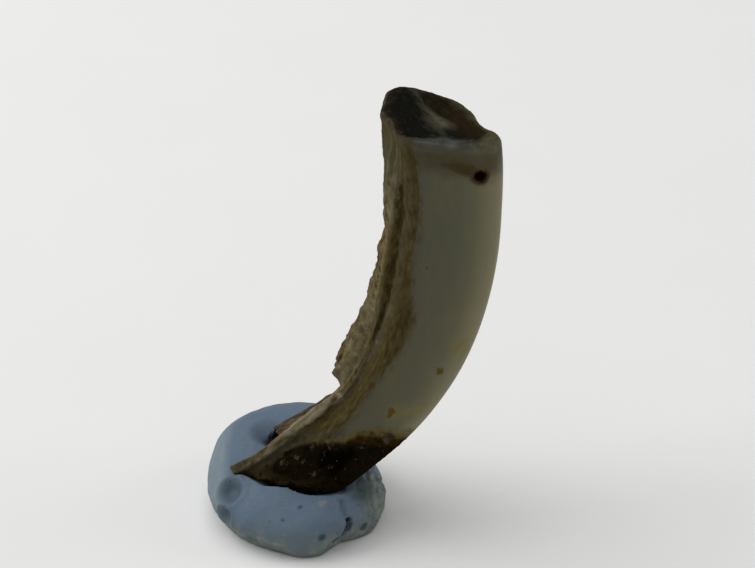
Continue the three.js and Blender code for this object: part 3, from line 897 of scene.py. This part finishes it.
puttyCoats = [  # as for the tooth
    ("dustIn", (-0.9, 1.1), 0.4, ("#647074", "#6b7678"), 0.75, 0.015, 0.75),
    ("grimeIn", (-0.5, 0.6), 0.4, ("#626960", "#8c9388"), 0.85, 0.03, 0.85),
    ("paleIn", (-0.4, 0.5), 0.25, ("#808d94", "#78868d"), 0.7, 0.015, 0.8, "blotch"),
    # painted shade cast by the tooth beside its base
    ("dampIn", (-0.7, 0.8), 0.3, ("#3d4744", "#49534e"), 0.8, 0.02, 0.75),
    # painted shade in the thumb dents
    ("dentIn", (-0.5, 0.7), 0.15, ("#48575f", "#52616a"), 0.55, 0.01, 0.75),
    # painted shade in the cracks, and the dark smudges
    ("crackIn", (-0.1, 0.05), 0.06, ("#24323f", "#344452"), 0.8, 0.03, 0.8),
    # painted shade inside the socket and its hole
    ("socketIn", (-0.2, 0.15), 0.06, ("#0f1112", "#16191a"), 0.9, 0.03),
]


def puttyFinish():  # matt and waxy, blue-grey, with greenish dirt where it was handled, and painted shade in its dents, cracks, socket and beside the tooth
    material, tree = newMaterial("pressedMountingPutty")
    noise = makeNoise(tree, {
        "blotch": ("mm", [3.5] * 3),
        "mottle": ("mm", [0.9] * 3),
        "grit": ("mm", [0.2] * 3),
    })
    base = mixColours(tree, noise["blotch"], "#687888", "#5f7083")
    fleck = addNode(tree, "ShaderNodeMapRange", {"Value": noise["grit"], "To Min": 0.95, "To Max": 1.04})
    base = mixColours(tree, 1, base, fleck, "MULTIPLY")
    skin = (base, 0.65, 0.012)
    for coat in puttyCoats:
        skin = layCoat(tree, noise, skin, *coat)
    finishMaterial(tree, *skin, [(noise["mottle"], 0.6), (noise["grit"], 0.4)], 0.12)
    return material


# grains: small lumps strewn over a piece, as many as one of its fields says
def grainTree():
    tree = bpy.data.node_groups.new("strewnGrains", "GeometryNodeTree")
    kinds = dict(
        Geometry="Geometry", Field="String", Density="Float", Small="Float", Large="Float",
        Flatness="Float", Seed="Int", Material="Material",
    )
    for name, kind in kinds.items():
        tree.interface.new_socket(name, in_out="INPUT", socket_type="NodeSocket" + kind)
    tree.interface.new_socket("Geometry", in_out="OUTPUT", socket_type="NodeSocketGeometry")
    given = addNode(tree, "NodeGroupInput").outputs
    field = addNode(tree, "GeometryNodeInputNamedAttribute", {"Name": given["Field"]}, data_type="FLOAT")
    dense = addMath(tree, "MULTIPLY", field, given["Density"])
    spread = addNode(tree, "GeometryNodeDistributePointsOnFaces", {
        "Mesh": given["Geometry"], "Density": dense, "Seed": given["Seed"],
    })
    ball = addNode(tree, "GeometryNodeMeshIcoSphere", {"Radius": 1, "Subdivisions": 2})
    bumps = addNode(tree, "ShaderNodeTexNoise", {"Scale": 0.9, "Detail": 1})
    offset = addNode(tree, "ShaderNodeVectorMath", {
        0: bumps.outputs["Color"], 1: (0.5, 0.5, 0.5),
    }, operation="SUBTRACT")
    pebble = addNode(tree, "GeometryNodeSetPosition", {"Geometry": ball, "Offset": offset})
    size = addNode(tree, "FunctionNodeRandomValue", {
        2: given["Small"], 3: given["Large"], "Seed": given["Seed"],
    })
    shape = addNode(tree, "FunctionNodeRandomValue", {
        0: (0.6, 0.6, 0.6), 1: (1.4, 1.4, 1.0), "Seed": given["Seed"],
    }, data_type="FLOAT_VECTOR")
    squash = addNode(tree, "ShaderNodeCombineXYZ", {"X": 1, "Y": 1, "Z": given["Flatness"]})
    shape = addNode(tree, "ShaderNodeVectorMath", {0: shape, 1: squash}, operation="MULTIPLY")
    shape = addNode(tree, "ShaderNodeVectorMath", {0: shape, "Scale": size.outputs[1]}, operation="SCALE")
    strewn = addNode(tree, "GeometryNodeInstanceOnPoints", {
        "Points": spread, "Instance": pebble, "Rotation": spread.outputs["Rotation"], "Scale": shape,
    })
    solid = addNode(tree, "GeometryNodeRealizeInstances", {"Geometry": strewn})
    smooth = addNode(tree, "GeometryNodeSetShadeSmooth", {"Geometry": solid})
    done = addNode(tree, "GeometryNodeSetMaterial", {"Geometry": smooth, "Material": given["Material"]})
    addNode(tree, "NodeGroupOutput", {"Geometry": done})
    return tree


grains = {  # host, how strewn (number on a square mm, radius in mm, thickness share), finish
    "chalkSpecks": (
        "toothBody", dict(Field="speckle", Density=4.5, Small=0.02, Large=0.065, Flatness=0.5, Seed=3),
        ("chalkyDeposit", ("#4b4b40", "#35352b"), 0.9),
    ),
    "cementGrains": (
        "toothBody", dict(Field="grit", Density=2.5, Small=0.02, Large=0.09, Flatness=0.5, Seed=5),
        ("crumblyCement", ("#908867", "#5d5339"), 0.95),
    ),
    "dirtCrumbs": (
        "puttyLump", dict(Field="crumbs", Density=0.5, Small=0.02, Large=0.06, Flatness=0.6, Seed=8),
        ("dryDirt", ("#2a3138", "#4b5250"), 0.9),
    ),
}


def grainFinish(name, colours, rough):  # dry and dull, in two tones
    material, tree = newMaterial(name)
    noise = makeNoise(tree, {"tone": ("mm", [0.5] * 3), "grit": ("mm", [0.05] * 3)})
    colour = mixColours(tree, noise["tone"], *colours)
    finishMaterial(tree, colour, rough, 0.006, [(noise["grit"], 1)], 0.08)
    return material


def strewGrains(name, tree, host, settings, material):
    settings = settings | {"Material": material, "Density": settings["Density"] / metre ** 2}
    settings |= {size: settings[size] * metre for size in ("Small", "Large")}
    modifier = host.modifiers.new(name, "NODES")
    modifier.node_group = tree
    for socket in tree.interface.items_tree:
        if socket.name in settings:
            modifier[socket.identifier] = settings[socket.name]
    mesh = bpy.data.meshes.new_from_object(host.evaluated_get(bpy.context.evaluated_depsgraph_get()))
    host.modifiers.remove(modifier)
    mesh.name = name
    piece = bpy.data.objects.new(name, mesh)
    scene.collection.objects.link(piece)
    return piece


# enamel is satin and a little clear; cement, worn dentine and the stained end are matt
toothBody = buildTooth([toothFinish("agedToothEnamel", 0.2), toothFinish("mattCementAndDentine", 0.0)])
print("tooth:", len(toothBody.data.polygons), "faces")
puttyLump = buildPutty(puttyFinish())
print("putty:", len(puttyLump.data.polygons), "faces")
for piece, node in ((toothBody, "tooth"), (puttyLump, "putty")):
    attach(piece, "root")
    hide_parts(node)
strewnTree = grainTree()
for name, (hostName, settings, finish) in grains.items():
    host = bpy.data.objects[hostName]
    piece = strewGrains(name, strewnTree, host, settings, grainFinish(*finish))
    print("grains:", name, len(piece.data.polygons), "faces")
    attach(piece, "root")

# camera as in the photograph: 30 degrees above the table
view = {  # lens and sensor in mm, the rest in metres and degrees
    "lens": 107.3, "sensor": 36, "clip": (0.005, 50),
    "place": (0.006882, -0.155172, 0.111235), "tilt": 60,
}
cameraData = bpy.data.cameras.new("camera")
cameraData.sensor_width, cameraData.lens = view["sensor"], view["lens"]
cameraData.clip_start, cameraData.clip_end = view["clip"]
camera = bpy.data.objects.new("camera", cameraData)
camera.location = view["place"]
camera.rotation_euler = (math.radians(view["tilt"]), 0, 0)
scene.collection.objects.link(camera)
scene.camera = camera

# table: a plain pale board, even and matt so that the shadow reads
floorMaterial, board = newMaterial("paleCoatedBoard")
speck = addNode(board, "ShaderNodeTexNoise", {
    "Vector": addNode(board, "ShaderNodeTexCoord").outputs["Object"], "Scale": 60, "Detail": 3,
})
tone = mixColours(board, speck, "#f4f4f2", "#f7f7f6")
face = addNode(board, "ShaderNodeBsdfPrincipled", {
    "Base Color": tone, "Roughness": 0.9, "Specular IOR Level": 0.1,
})
addNode(board, "ShaderNodeOutputMaterial", {"Surface": face})
reach, under = 3000, -0.02  # mm
corners = [(-reach, -reach, under), (reach, -reach, under), (reach, reach, under), (-reach, reach, under)]
floor = newPiece("floor", corners, [(0, 1, 2, 3)], materials=[floorMaterial])

lights = {  # place in metres, size, watts
    "softboxTop": ((-0.1, 0.1, 0.7), 0.8, 2.0),
    "softboxRight": ((0.55, 0.05, 0.22), 0.35, 0.5),
    "softboxLeft": ((-0.5, 0.12, 0.4), 0.6, 1.9),
}
aimHeight = 0.018  # metres, half way up the tooth
for name, (place, size, power) in lights.items():
    lamp = bpy.data.lights.new(name, "AREA")
    lamp.shape, lamp.size, lamp.energy = "DISK", size, power
    box = bpy.data.objects.new(name, lamp)
    box.location = place
    aim = box.location.copy()
    aim.z -= aimHeight
    box.rotation_euler = aim.to_track_quat("Z", "Y").to_euler()
    scene.collection.objects.link(box)
world = bpy.data.worlds.new("studio")
scene.world = world
world.use_nodes = True
sky = world.node_tree.nodes["Background"].inputs
sky["Color"].default_value = (1, 1, 1, 1)
sky["Strength"].default_value = 0.3
scene.view_settings.view_transform = "Standard"
